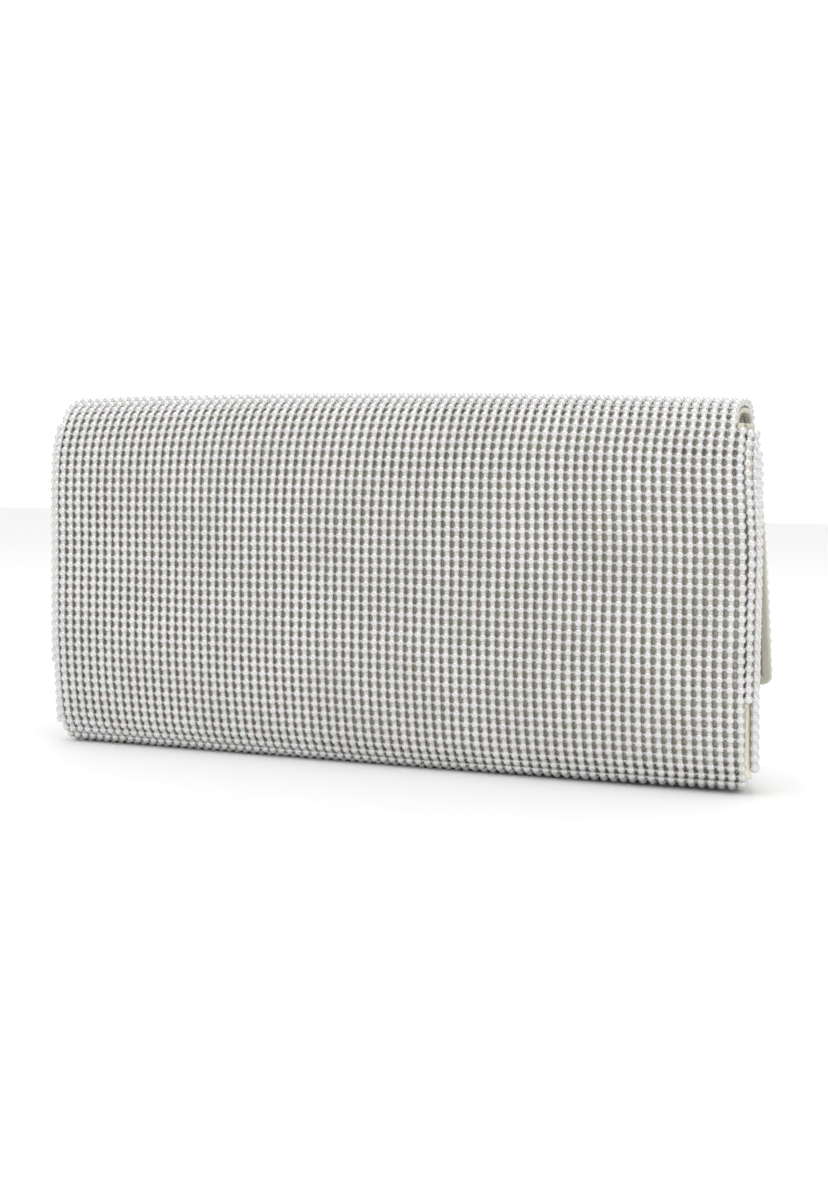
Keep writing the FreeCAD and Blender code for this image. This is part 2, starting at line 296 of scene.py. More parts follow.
def triangle_object(name, points, triangles, material):
    """A large mesh, filled from arrays."""
    mesh = bpy.data.meshes.new(name)
    mesh.vertices.add(len(points))
    mesh.vertices.foreach_set("co", (points * MM).astype(np.float32).ravel())
    mesh.loops.add(triangles.size)
    mesh.loops.foreach_set("vertex_index", triangles.astype(np.int32).ravel())
    mesh.polygons.add(len(triangles))
    mesh.polygons.foreach_set("loop_start", np.arange(0, triangles.size, 3, dtype=np.int32))
    mesh.update(calc_edges=True)
    mesh.shade_smooth()
    mesh.materials.append(material)
    obj = bpy.data.objects.new(name, mesh)
    bpy.context.collection.objects.link(obj)
    return obj


def ball_form(around=10, rings=6):
    """A unit ball's points and triangles, with its pole along +Z."""
    points = [(0, 0, 1.0)]
    for i in range(1, rings):
        a = pi * i / rings
        for j in range(around):
            b = 2 * pi * (j + 0.5 * (i % 2)) / around
            points.append((sin(a) * cos(b), sin(a) * sin(b), cos(a)))
    points.append((0, 0, -1.0))
    last = len(points) - 1
    faces = []
    for j in range(around):
        k = (j + 1) % around
        faces.append((0, 1 + j, 1 + k))
        faces.append((last, last - around + k, last - around + j))
        for i in range(rings - 2):
            a, b = 1 + i * around, 1 + (i + 1) * around
            if i % 2 == 0:
                faces += [(a + j, b + j, b + k), (a + j, b + k, a + k)]
            else:
                faces += [(a + j, b + j, a + k), (a + k, b + j, b + k)]
    return np.array(points), np.array(faces)


def link_form(sides=6):
    """An open link from z 0 to 1 with a waist of unit radius. Its ends stay inside the balls."""
    points = [(flare * cos(2 * pi * j / sides), flare * sin(2 * pi * j / sides), z)
              for z, flare in ((0.15, 1.25), (0.5, 1.0), (0.85, 1.25)) for j in range(sides)]
    faces = []
    for ring in (0, sides):
        for j in range(sides):
            k = (j + 1) % sides
            faces += [(ring + j, ring + k, ring + sides + k), (ring + j, ring + sides + k, ring + sides + j)]
    return np.array(points), np.array(faces)


BALL_POINTS, BALL_FACES = ball_form()
LINK_POINTS, LINK_FACES = link_form()


def frames(axis):
    """Two unit vectors square to each axis."""
    axis = axis / np.linalg.norm(axis, axis=-1, keepdims=True)
    helper = np.where(np.abs(axis[:, :1]) < 0.8, [[1.0, 0, 0]], [[0, 0, 1.0]])
    first = np.cross(helper, axis)
    first /= np.linalg.norm(first, axis=-1, keepdims=True)
    return first, np.cross(axis, first), axis


def many_balls(centres, normals, radii):
    e1, e2, e3 = frames(normals)
    local = BALL_POINTS[None] * radii[:, None, None]
    points = (centres[:, None] + local[..., :1] * e1[:, None] + local[..., 1:2] * e2[:, None]
              + local[..., 2:] * e3[:, None])
    faces = BALL_FACES[None] + (np.arange(len(centres)) * len(BALL_POINTS))[:, None, None]
    return points.reshape(-1, 3), faces.reshape(-1, 3)


def many_links(starts, ends, radius):
    e1, e2, _ = frames(ends - starts)
    along = LINK_POINTS[None, :, 2:]
    points = (starts[:, None] + (ends - starts)[:, None] * along
              + radius * LINK_POINTS[None, :, :1] * e1[:, None]
              + radius * LINK_POINTS[None, :, 1:2] * e2[:, None])
    faces = LINK_FACES[None] + (np.arange(len(starts)) * len(LINK_POINTS))[:, None, None]
    return points.reshape(-1, 3), faces.reshape(-1, 3)


class Mesh:
    """A grid of balls, [row, column], with links to the next row and the next column."""

    ACROSS, ALONG = 0.40, 0.92       # radii of the two kinds of link, at their waists
    SINK = 0.15                      # how much deeper than the balls the links lie

    def __init__(self, points, normals, keep=None):
        self.points, self.normals = points, normals
        self.keep = np.ones(points.shape[:2], bool) if keep is None else keep
        self.radii = BALL_RADIUS * RNG.uniform(0.98, 1.01, points.shape[:2])

    def piece(self, name, rows, columns=slice(None)):
        """Balls of some rows and columns as one object, with the links up to their neighbours."""
        chosen = np.zeros_like(self.keep)
        chosen[rows, columns] = True
        chosen &= self.keep
        parts = [many_balls(self.points[chosen], self.normals[chosen], self.radii[chosen])]
        for radius, shift in ((self.ACROSS, (0, 1)), (self.ALONG, (1, 0))):
            rows_to, columns_to = (slice(d, None) for d in shift)
            rows_from = slice(0, self.keep.shape[0] - shift[0])
            columns_from = slice(0, self.keep.shape[1] - shift[1])
            both = chosen[rows_from, columns_from] & self.keep[rows_to, columns_to]
            sink = self.SINK * self.normals[rows_from, columns_from][both]
            start = self.points[rows_from, columns_from][both] - sink
            end = self.points[rows_to, columns_to][both] - sink
            parts.append(many_links(start, end, radius))
        offsets = np.cumsum([0] + [len(p) for p, _ in parts[:-1]])
        points = np.concatenate([p for p, _ in parts])
        faces = np.concatenate([f + o for (_, f), o in zip(parts, offsets)])
        obj = triangle_object(name, points, faces, SILVER)
        # The links take the darker silver: painted shade between the balls.
        obj.data.materials.append(SHADED_LINK_SILVER)
        kinds = np.ones(len(faces), np.int32)
        kinds[:len(parts[0][1])] = 0
        obj.data.polygons.foreach_set("material_index", kinds)
        return obj


def grid_solid(name, place, across, along, depths, material, steps=(120, 40), uneven=0.0):
    """A thin closed sheet. across(b) gives the low and high edge of the sheet at a place b along."""
    na, nb = steps
    b = np.linspace(*along, nb + 1)[:, None]
    low, high = across(b)
    t = np.linspace(0, 1, na + 1)[None, :]
    a = low + (high - low) * t
    b = np.broadcast_to(b, a.shape)
    sides = []
    for depth in depths:
        fade = np.minimum(1, 8 * np.minimum(t, 1 - t))
        sides.append(place(a, b, depth + waver(a, b, uneven) * fade)[0].reshape(-1, 3))
    count, wide = sides[0].shape[0], na + 1
    faces = []
    for i in range(nb):
        for j in range(na):
            k = i * wide + j
            faces.append((k, k + 1, k + wide + 1, k + wide))
            faces.append((count + k, count + k + wide, count + k + wide + 1, count + k + 1))
    rim = ([j for j in range(wide)] + [i * wide + na for i in range(1, nb + 1)]
           + [nb * wide + j for j in range(na - 1, -1, -1)] + [i * wide for i in range(nb - 1, 0, -1)])
    for a_, b_ in zip(rim, rim[1:] + rim[:1]):
        faces.append((b_, a_, count + a_, count + b_))
    obj = new_object(name, np.concatenate(sides), faces, material)
    fix_normals(obj)
    return obj


def fix_normals(obj):
    bm = bmesh.new()
    bm.from_mesh(obj.data)
    bmesh.ops.recalc_face_normals(bm, faces=bm.faces)
    bm.to_mesh(obj.data)
    bm.free()


def rounded_section(low, high, reach_in, reach_out, round_off=0.8, steps=5):
    """A closed outline in (outward, depth): a rectangle with rounded corners."""
    corners = [(reach_out, low, 0), (reach_out, high, 1), (-reach_in, high, 2), (-reach_in, low, 3)]
    outline = []
    for x, d, quarter in corners:
        cx = x - round_off if x > 0 else x + round_off
        cd = d + round_off if d == low else d - round_off
        for k in range(steps):
            a = radians(-90 + 90 * quarter + 90 * k / (steps - 1))
            outline.append((cx + round_off * cos(a), cd + round_off * sin(a)))
    return np.array(outline)


def swept_edge(name, path, material, section):
    """Sweeps a section along a path of (point, outward, inward) rows, and caps its ends."""
    points = []
    for point, outward, inward in path:
        points.append(point + section[:, :1] * outward + section[:, 1:] * inward)
    n, m = len(path), len(section)
    faces = []
    for i in range(n - 1):
        a, b = i * m, (i + 1) * m
        for j in range(m):
            k = (j + 1) % m
            faces.append((a + j, a + k, b + k, b + j))
    faces += [tuple(range(m)), tuple(range((n - 1) * m, n * m))[::-1]]
    obj = new_object(name, np.concatenate(points), faces, material)
    fix_normals(obj)
    return obj


def stitches(name, places, length, material, radius=0.17):
    """A row of thread stitches at (point, along, outward) places, each a small arched rod."""
    around, steps = 6, 5
    points, faces = [], []
    for point, along, outward in places:
        base = len(points)
        across = np.cross(along, outward)
        for i in range(steps):
            t = i / (steps - 1)
            middle = point + along * length * (t - 0.5) + outward * radius * (4 * t * (1 - t) - 0.3)
            size = radius * (0.55 + 0.45 * sin(pi * t))
            for j in range(around):
                a = 2 * pi * j / around
                points.append(middle + size * (cos(a) * across + sin(a) * outward))
        for i in range(steps - 1):
            a, b = base + i * around, base + (i + 1) * around
            for j in range(around):
                k = (j + 1) % around
                faces.append((a + j, a + k, b + k, b + j))
        faces.append(tuple(range(base, base + around))[::-1])
        faces.append(tuple(range(base + (steps - 1) * around, base + steps * around)))
    obj = new_object(name, points, faces, material)
    fix_normals(obj)
    return obj


# Materials --------------------------------------------------------------------------------------
def material(name, color, roughness, metallic=0.0, **sockets):
    """A new node material and its shader. Uniform values go straight on the shader."""
    mat = bpy.data.materials.new(name)
    mat.use_nodes = True
    shader = mat.node_tree.nodes["Principled BSDF"]
    shader.inputs["Base Color"].default_value = (*color, 1)
    shader.inputs["Roughness"].default_value = roughness
    shader.inputs["Metallic"].default_value = metallic
    for key, value in sockets.items():
        shader.inputs[key.replace("_", " ")].default_value = value
    return mat, shader


def add(mat, kind, **values):
    node = mat.node_tree.nodes.new(kind)
    for key, value in values.items():
        if key in node.inputs:
            node.inputs[key].default_value = value
        else:
            setattr(node, key, value)
    return node


def mixed(mat, factor, color_a, color_b):
    """A colour between two, by a factor output."""
    ramp = add(mat, "ShaderNodeMix", data_type="RGBA")
    ramp.inputs[6].default_value = (*color_a, 1)
    ramp.inputs[7].default_value = (*color_b, 1)
    mat.node_tree.links.new(factor, ramp.inputs[0])
    return ramp.outputs[2]


def ranged(mat, value, low, high, start=0.35, stop=0.65):
    node = add(mat, "ShaderNodeMapRange")
    for key, number in (("From Min", start), ("From Max", stop), ("To Min", low), ("To Max", high)):
        node.inputs[key].default_value = number
    mat.node_tree.links.new(value, node.inputs["Value"])
    return node.outputs["Result"]


def noise(mat, scale, detail=2.0, stretch=None):
    """Noise in the object's own space, scale in cycles per metre, with an optional stretch."""
    coords = add(mat, "ShaderNodeTexCoord")
    node = add(mat, "ShaderNodeTexNoise", Scale=scale, Detail=detail)
    out = coords.outputs["Object"]
    if stretch:
        mapping = add(mat, "ShaderNodeMapping")
        mapping.inputs["Scale"].default_value = stretch
        mat.node_tree.links.new(out, mapping.inputs["Vector"])
        out = mapping.outputs["Vector"]
    mat.node_tree.links.new(out, node.inputs["Vector"])
    return node.outputs["Fac"]


def bump(mat, shader, heights, distance):
    """Adds heights together and bumps the surface by them. heights is [(output, weight)]."""
    total = None
    for out, weight in heights:
        scaled = add(mat, "ShaderNodeMath", operation="MULTIPLY")
        scaled.inputs[1].default_value = weight
        mat.node_tree.links.new(out, scaled.inputs[0])
        if total is None:
            total = scaled.outputs[0]
        else:
            plus = add(mat, "ShaderNodeMath", operation="ADD")
            mat.node_tree.links.new(total, plus.inputs[0])
            mat.node_tree.links.new(scaled.outputs[0], plus.inputs[1])
            total = plus.outputs[0]
    node = add(mat, "ShaderNodeBump")
    node.inputs["Distance"].default_value = distance
    node.inputs["Strength"].default_value = 0.6
    mat.node_tree.links.new(total, node.inputs["Height"])
    mat.node_tree.links.new(node.outputs["Normal"], shader.inputs["Normal"])


def silver(name, shade, roughness):
    """Satin silver plating, with a slight change of tint from ball to ball."""
    mat, shader = material(name, (shade, shade, shade), roughness, metallic=0.75)
    link = mat.node_tree.links.new
    pink, green = (shade * 1.01, shade * 0.985, shade), (shade * 0.98, shade, shade * 0.975)
    tint = mixed(mat, ranged(mat, noise(mat, 260), 0, 1, 0.42, 0.58), pink, green)
    dull = mixed(mat, ranged(mat, noise(mat, 60), 0, 1), (1, 1, 1), (0.93, 0.93, 0.92))
    both = add(mat, "ShaderNodeMix", data_type="RGBA", blend_type="MULTIPLY")
    both.inputs[0].default_value = 1.0
    link(tint, both.inputs[6])
    link(dull, both.inputs[7])
    link(both.outputs[2], shader.inputs["Base Color"])
    link(ranged(mat, noise(mat, 900, 3), roughness - 0.05, roughness + 0.06), shader.inputs["Roughness"])
    bump(mat, shader, [(noise(mat, 2500, 3), 1.0)], 0.00002)
    return mat


def satin(name, dark, light, roughness=0.42, thread=6500.0):
    """Satin: long floats one way, a slow change of tone, and a soft sheen."""
    mat, shader = material(name, light, roughness, Sheen_Weight=0.35, Sheen_Roughness=0.4)
    link = mat.node_tree.links.new
    tone = ranged(mat, noise(mat, 55, 3), 0, 1, 0.3, 0.7)
    link(mixed(mat, tone, dark, light), shader.inputs["Base Color"])
    float_way = noise(mat, thread, 1, (0.12, 1, 1))
    cross_way = noise(mat, thread, 1, (1, 1, 0.12))
    link(ranged(mat, float_way, roughness - 0.08, roughness + 0.1), shader.inputs["Roughness"])
    bump(mat, shader, [(float_way, 1.0), (cross_way, 0.5), (noise(mat, 700, 3), 1.2)], 0.00008)
    return mat


def felt():
    mat, shader = material("felt", (0.80, 0.79, 0.75), 0.9, Sheen_Weight=0.3)
    link = mat.node_tree.links.new
    link(mixed(mat, noise(mat, 1800, 5), (0.70, 0.69, 0.65), (0.88, 0.87, 0.84)), shader.inputs["Base Color"])
    bump(mat, shader, [(noise(mat, 3000, 6), 1.0)], 0.0002)
    return mat


def card():
    mat, shader = material("card", (0.55, 0.50, 0.42), 0.85)
    link = mat.node_tree.links.new
    link(mixed(mat, noise(mat, 1200, 6), (0.46, 0.41, 0.34), (0.62, 0.57, 0.49)), shader.inputs["Base Color"])
    bump(mat, shader, [(noise(mat, 2500, 5), 1.0)], 0.0001)
    return mat


def nickel():
    """Nickel plating, brushed finely, with faint handling marks."""
    mat, shader = material("nickel_plating", (0.76, 0.76, 0.77), 0.24, metallic=1.0)
    link = mat.node_tree.links.new
    marks = noise(mat, 900, 5)
    link(ranged(mat, marks, 0.16, 0.34), shader.inputs["Roughness"])
    link(mixed(mat, noise(mat, 180, 2), (0.70, 0.70, 0.71), (0.80, 0.80, 0.80)), shader.inputs["Base Color"])
    bump(mat, shader, [(noise(mat, 5000, 2, (1, 1, 0.05)), 1.0)], 0.00003)
    return mat


def ferrite():
    mat, shader = material("ferrite", (0.16, 0.16, 0.17), 0.55, metallic=0.6)
    mat.node_tree.links.new(ranged(mat, noise(mat, 2000, 4), 0.45, 0.7), shader.inputs["Roughness"])
    bump(mat, shader, [(noise(mat, 4000, 5), 1.0)], 0.00008)
    return mat


SILVER = silver("silver_balls", 0.76, 0.27)
# The links' silver is darker than the balls': painted shade for the links sitting in the creases between the
# balls. Their higher roughness makes them more matte.
SHADED_LINK_SILVER = silver("silver_links_painted_shade", 0.69, 0.34)
SATIN = satin("olive_satin", (0.78, 0.73, 0.59), (0.91, 0.86, 0.72))
LINING_SATIN = satin("lining_satin", (0.50, 0.45, 0.34), (0.62, 0.56, 0.44), 0.36)
BINDING_SATIN = satin("binding_satin", (0.52, 0.51, 0.41), (0.66, 0.64, 0.54), 0.38)
FELT = felt()
CARD = card()
NICKEL = nickel()
FERRITE = ferrite()
THREAD = satin("thread", (0.50, 0.48, 0.38), (0.66, 0.63, 0.52), 0.5, 9000.0)


# Ball mesh --------------------------------------------------------------------------------------
def strip_mesh():
    """The whole strip's grid of balls, and the s of each row."""
    count_down = int((S_LIP - 0.4) / PITCH_ALONG)
    count_up = int((S_END - BALL) / PITCH_ALONG + 0.5)
    s = (np.arange(-count_down, count_up + 1) - 0.5) * PITCH_ALONG
    s = s[s > -(S_LIP - BALL)]
    c = np.arange(COLUMNS) - (COLUMNS - 1) / 2
    above = (s > S_STEP)[:, None]
    edge = half_width(s[:, None], c[None, :])
    last = c[-1] - (above & (c < 0))
    u = (edge - np.where(above, BALL_RADIUS, PITCH_ACROSS / 2)) / last * c
    dropped = above & (c == c[0])
    s = np.broadcast_to(s[:, None], u.shape)
    u = u + waver(s * 1.3, u, 0.16) + RNG.normal(0, 0.035, u.shape)
    along = s + waver(u, s * 0.8, 0.22) * (np.abs(s) > S_BOTTOM) + RNG.normal(0, 0.035, u.shape)
    lift = RNG.normal(0, 0.03, u.shape) + waver(u * 0.8, s, 0.10)
    lift = np.where(np.abs(s) < S_BOTTOM, np.abs(lift), lift)
    points, normals = strip_place(u, along, BALL + lift)
    keep = ~dropped
    near_snap = np.hypot(points[..., 0], points[..., 2] - SOCKET_Z) < SNAP_HOLE + 0.4
    keep &= ~(near_snap & (s < 0))
    keep[-1, [1, -1]] = False
    return Mesh(points, normals, keep), s[:, 0]


def gusset_mesh(sign):
    """One gusset's balls. Those that would lie over the strip's last columns are left out."""
    v = np.linspace(GUSSET_FRONT + 0.8, GUSSET_BACK - 1.1, GUSSET_COLUMNS)
    z = LIP + GUSSET_RISE - 1.7 - 1.007 * PITCH_ALONG * np.arange(GUSSET_ROWS)[::-1]
    vv, zz = np.meshgrid(v, z)
    keep = zz < gusset_top(vv) - 1.0
    zz = zz + waver(vv * 2, zz, 0.15) + RNG.normal(0, 0.04, zz.shape)
    vv = vv + RNG.normal(0, 0.05, vv.shape)
    dish = GUSSET_DISH * np.cos(np.clip(vv / 16, -1, 1) * pi / 2) * np.sin(np.clip(zz / LIP, 0, 1) * pi)
    points, normals = gusset_place(sign)(vv, zz, BALL + dish)
    last = profile_y(zz) * (1 - ROUND * (1 - cos(FRONT_SEAM - PITCH_ACROSS / 2 / ROUND)) / Y_MAX)
    room = np.where(zz > LIP + 2, 0.8, 1.1)
    keep &= last - np.abs(points[..., 1] - MID_Y) > room
    return Mesh(points, normals, keep)


def rows_between(s, low, high):
    return np.nonzero((s >= low) & (s < high))[0]


def bend_ball_piece(obj, first, second, s):
    """Bakes a piece's transform into its mesh; first and second, the two bodies, are not used, and the piece
    is not bent over the hinge line at s.
    """
    start, end = (Vector(strip_place(0, s + d, 0)[0] * MM) for d in (-BEND, BEND))
    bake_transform(obj)


def make_ball_mesh():
    balls, s = strip_mesh()
    wide = {
        "front_balls_upper": (-S_LIP, -72, "pouch", "front_bead_mesh"),
        "front_balls_middle": (-72, -40, "pouch", "front_bead_mesh"),
        "front_balls_lower": (-40, -S_BOTTOM, "pouch", "front_bead_mesh"),
        "bottom_balls": (-S_BOTTOM, S_BOTTOM, "pouch", "bottom_bead_mesh"),
        "back_balls_lower": (S_BOTTOM, 42, "pouch", "back_bead_mesh"),
        "back_balls_middle": (42, 75, "pouch", "back_bead_mesh"),
        "back_balls_upper": (75, S_REAR - BEND, "pouch", "back_bead_mesh"),
        "flap_balls_upper": (S_FRONT + BEND, (S_FRONT + S_END) / 2 + 3, "flap", "flap_bead_mesh"),
        "flap_balls_lower": ((S_FRONT + S_END) / 2 + 3, S_END, "flap", "flap_bead_mesh"),
    }
    for name, (low, high, body, node) in wide.items():
        obj = balls.piece(name, rows_between(s, low, high))
        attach(obj, body)
        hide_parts(node)
    bends = {
        "fold_rear_balls": (S_REAR - BEND, S_MID_REAR, "pouch", "fold_rear", S_REAR, "fold_rear_bead_mesh"),
        "fold_top_balls": (S_MID_REAR, S_MID_FRONT, "fold_rear", "fold_front", S_TOP, "fold_rear_bead_mesh"),
        "fold_front_balls": (S_MID_FRONT, S_FRONT + BEND, "fold_front", "flap", S_FRONT,
                             "fold_front_bead_mesh"),
    }
    for name, (low, high, first, second, hinge, node) in bends.items():
        obj = balls.piece(name, rows_between(s, low, high))
        bend_ball_piece(obj, first, second, hinge)
        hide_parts(node)
    for side, sign in (("left", -1), ("right", 1)):
        obj = gusset_mesh(sign).piece(f"{side}_gusset_balls", slice(None))
        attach(obj, "pouch")
        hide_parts(f"{side}_gusset_bead_mesh")


# Cloth ------------------------------------------------------------------------------------------
def strip_cloth(name, low, high, depths, mat, inset, node, body=None, bend=None, uneven=0.0):
    """A sheet of the strip between two places along it. It rides one body, or else only has its transform
    baked.
    """
    def across(b):
        return inset - half_width(b, -1, S_STEP + 1.5), half_width(b, 1, S_STEP + 1.5) - inset
    steps = (110, max(8, int((high - low) / 2)))
    obj = grid_solid(name, strip_place, across, (low, high), depths, mat, steps, uneven)
    if body:
        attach(obj, body)
    else:
        first, second, hinge = bend
        bend_ball_piece(obj, first, second, hinge)
    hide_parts(node)


def make_strip_cloth():
    layers = {
        "backing": (BACKING, SATIN, "satin_backing", 0.3, 0.05),
        "lining": (LINING, LINING_SATIN, "satin_lining", LINING[1] - 1.3, 0.0),
    }
    for layer, (depths, mat, slot, inset, uneven) in layers.items():
        fixed = {
            "front": (-S_LIP, -S_BOTTOM, "pouch"),
            "bottom": (-S_BOTTOM, S_BOTTOM, "pouch"),
            "back": (S_BOTTOM, S_REAR - BEND, "pouch"),
            "flap": (S_FRONT + BEND, S_END - 1.2, "flap"),
        }
        for part, (low, high, body) in fixed.items():
            strip_cloth(f"{part}_{layer}_cloth", low, high, depths, mat, inset,
                        f"{part}_{layer}", body=body, uneven=uneven)
    for layer, depths, mat, slot, inset in (
            ("backing", BACKING, SATIN, "satin_backing", 1.4),
            ("interlining", INTERLINING, FELT, "interlining", 2.9),
            ("lining", LINING, LINING_SATIN, "satin_lining", 2.5)):
        bends = {
            "rear": (S_REAR - BEND, S_MID_REAR, ("pouch", "fold_rear", S_REAR), f"fold_rear_{layer}"),
            "top": (S_MID_REAR, S_MID_FRONT, ("fold_rear", "fold_front", S_TOP), f"fold_rear_{layer}"),
            "front": (S_MID_FRONT, S_FRONT + BEND, ("fold_front", "flap", S_FRONT), f"fold_front_{layer}"),
        }
        for part, (low, high, bend, node) in bends.items():
            strip_cloth(f"fold_{part}_{layer}_cloth", low, high, depths, mat, inset, node, bend=bend)


def make_gusset_cloth():
    for side, sign in (("left", -1), ("right", 1)):
        place = gusset_place(sign)
        for layer, depths, mat, slot, reach in (
                ("backing", BACKING, SATIN, "satin_backing", -0.4),
                ("lining", LINING, LINING_SATIN, "satin_lining", 0.6)):
            def high_place(v, part, depth):
                return place(v, LINING[0] + part * (gusset_top(v) - LINING[0]), depth)

            def across(b):
                return GUSSET_FRONT + reach + 0 * b, GUSSET_BACK - reach + 0 * b
            obj = grid_solid(f"{side}_gusset_{layer}_cloth", high_place, across, (0.0, 1.0), depths, mat,
                             (24, 60))
            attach(obj, "pouch")
            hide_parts(f"{side}_gusset_{layer}")


# Bound edges ------------------------------------------------------------------------------------
def strip_edge_path(sign, low, high, step=1.5):
    """Places along one side of the strip: (point, outward, inward)."""
    path = []
    for s in np.linspace(low, high, max(4, int((high - low) / step))):
        edge = float(half_width(s, sign, S_STEP + 1.5))
        point, out = strip_place(sign * edge, s, 0.0)
        path.append((point, np.array([sign, 0.0, 0.0]), -out))
    return path


def edge_section(reach_out):
    """The satin edge: it covers the backing's edge and laps on to the lining, behind the balls."""
    return rounded_section(BACKING[1], LINING[1] + 0.2, BINDING + 1.2, reach_out, 0.7)


def make_fold_bindings():
    section = edge_section(-1.6)
    bends = {
        "rear": (S_LIP + 0.5, S_MID_REAR, ("pouch", "fold_rear", S_REAR), "fold_rear_binding"),
        "top": (S_MID_REAR, S_MID_FRONT, ("fold_rear", "fold_front", S_TOP), "fold_rear_binding"),
        "front": (S_MID_FRONT, S_FRONT + BEND, ("fold_front", "flap", S_FRONT), "fold_front_binding"),
    }
    for part, (low, high, bend, node) in bends.items():
        for side, sign in (("left", -1), ("right", 1)):
            obj = swept_edge(f"fold_{part}_binding_{side}", strip_edge_path(sign, low, high, 0.8),
                             BINDING_SATIN, section)
            bend_ball_piece(obj, *bend)
            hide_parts(node)
    obj = swept_edge("fold_corner_left", corner_path(), BINDING_SATIN,
                     rounded_section(1.5, 2.7, 1.1, 1.2, 0.5))
    bend_ball_piece(obj, "pouch", "fold_rear", S_REAR)


def corner_path():
    """Across the bare corner of satin where the mesh loses a column."""
    path = []
    s = S_STEP + 0.9
    _, _, heading, _ = strip.at(s)
    up = np.array([0, float(np.cos(heading)), float(np.sin(heading))])
    for u in np.linspace(BACK_GIRTH - 3.4, BACK_GIRTH - 1.2, 6):
        point, out = strip_place(-u, s, 0.0)
        path.append((point, up, -out))
    return path


def flap_edge_path():
    """Down the left side of the flap, round its two lower corners and up the right side."""
    corner = 3.0
    left = strip_edge_path(-1, S_FRONT + BEND, S_END - corner)
    bottom = []
    edge = FLAP_HALF
    turns = [(-1, a) for a in np.linspace(0, 90, 7)[1:]] + [(1, a) for a in np.linspace(90, 0, 7)[:-1]]
    for sign, angle in turns:
        a = radians(angle)
        u = sign * (edge - corner + corner * cos(a))
        s = S_END - corner + corner * sin(a)
        point, out = strip_place(u, s, 0.0)
        _, _, heading, _ = strip.at(s)
        down = np.array([0, float(np.cos(heading)), float(np.sin(heading))])
        bottom.append((point, sign * cos(a) * np.array([1.0, 0, 0]) + sin(a) * down, -out))
    middle = len(bottom) // 2
    straight = []
    for u in np.linspace(-edge + corner, edge - corner, 90)[1:-1]:
        point, out = strip_place(u, S_END, 0.0)
        _, _, heading, _ = strip.at(S_END)
        down = np.array([0, float(np.cos(heading)), float(np.sin(heading))])
        straight.append((point, down, -out))
    right = strip_edge_path(1, S_FRONT + BEND, S_END - corner)[::-1]
    return left + bottom[:middle] + straight + bottom[middle:] + right


def make_flap_binding():
    path = flap_edge_path()
    obj = swept_edge("flap_binding", path, BINDING_SATIN, edge_section(0.2))
    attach(obj, "flap")
    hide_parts("flap_edge_binding")
    places = stitch_places(path, 2.6, inset=BINDING + 0.35, depth=LINING[1] + 0.1)
    row = stitches("flap_binding_stitches", places, 1.7, THREAD)
    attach(row, "flap")


def stitch_places(path, pitch, inset, depth):
    """Evenly spaced stitches along a path of (point, outward, inward)."""
    line = np.array([p - inset * o + depth * i for p, o, i in path])
    inward = np.array([i for _, _, i in path])
    lengths = np.concatenate([[0], np.cumsum(np.linalg.norm(np.diff(line, axis=0), axis=1))])
    places = []
    for at in np.arange(pitch, lengths[-1] - pitch / 2, pitch):
        point = np.array([np.interp(at, lengths, line[:, k]) for k in range(3)])
        ahead = np.array([np.interp(at + 0.5, lengths, line[:, k]) for k in range(3)])
        normal = np.array([np.interp(at, lengths, inward[:, k]) for k in range(3)])
        along = (ahead - point) / max(np.linalg.norm(ahead - point), 1e-6)
        places.append((point, along, normal / np.linalg.norm(normal)))
    return places


def opening_path():
    """Over the tops of the gussets and along the front lip, from the back's left end to its right."""
    up = np.array([0, 0, 1.0])
    path = []
    for sign in (-1, 1):
        place = gusset_place(sign)
        half = []
        for v in np.linspace(GUSSET_BACK, GUSSET_FRONT, 28):
            point, out = place(v, gusset_top(v) + 0.2, 0.0)
            half.append((point, up, -out))
        if sign > 0:
            half = half[::-1]
        else:
            s_lip = -strip.height(LIP + 0.2)
            ends = FRONT_GIRTH - 0.8
            for u in np.linspace(-ends, ends, 90):
                point, out = strip_place(u, s_lip, 0.0)
                half.append((point, up, -out))
        path += half
    return path


def make_opening_binding():
    path = opening_path()
    section = rounded_section(2.0, LINING[1] + 0.2, 1.6, LIP_TOP - LIP - 0.9, 0.7)
    obj = swept_edge("opening_edge", path, BINDING_SATIN, section)
    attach(obj, "pouch")
    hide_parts("opening_binding")


# Pocket -----------------------------------------------------------------------------------------
def make_pocket():
    low, high = node_box("slip_pocket")
    s_low, s_high = strip.height(low[2]), strip.height(high[2])
    half = high[0]

    def place(a, b, depth):
        gape = np.clip((b - s_low) / (s_high - s_low), 0, 1) ** 3 * np.cos(a / half * pi / 2) ** 2
        return strip_place(a, b, depth + 0.15 + 1.6 * gape)
    depths = (LINING[1] + 0.05, LINING[1] + 0.4)
    obj = grid_solid("slip_pocket_panel", place, lambda b: (-half + 0 * b, half + 0 * b), (s_low, s_high),
                     depths, LINING_SATIN, (60, 24))
    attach(obj, "pouch")
    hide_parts("slip_pocket")
    hem = []
    for u in np.linspace(-half + 0.5, half - 0.5, 60):
        point, out = place(np.array(u), np.array(s_high), np.array(LINING[1]))
        _, _, heading, _ = strip.at(s_high)
        up = np.array([0, float(np.cos(heading)), float(np.sin(heading))])
        hem.append((point, up, -out))
    section = rounded_section(-0.1, 0.8, 3.0, 0.5, 0.35)
    edge = swept_edge("slip_pocket_hem", hem, LINING_SATIN, section)
    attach(edge, "pouch")
    row = stitches("slip_pocket_stitches", stitch_places(hem, 2.6, 2.2, 0.8), 1.7, THREAD)
    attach(row, "pouch")


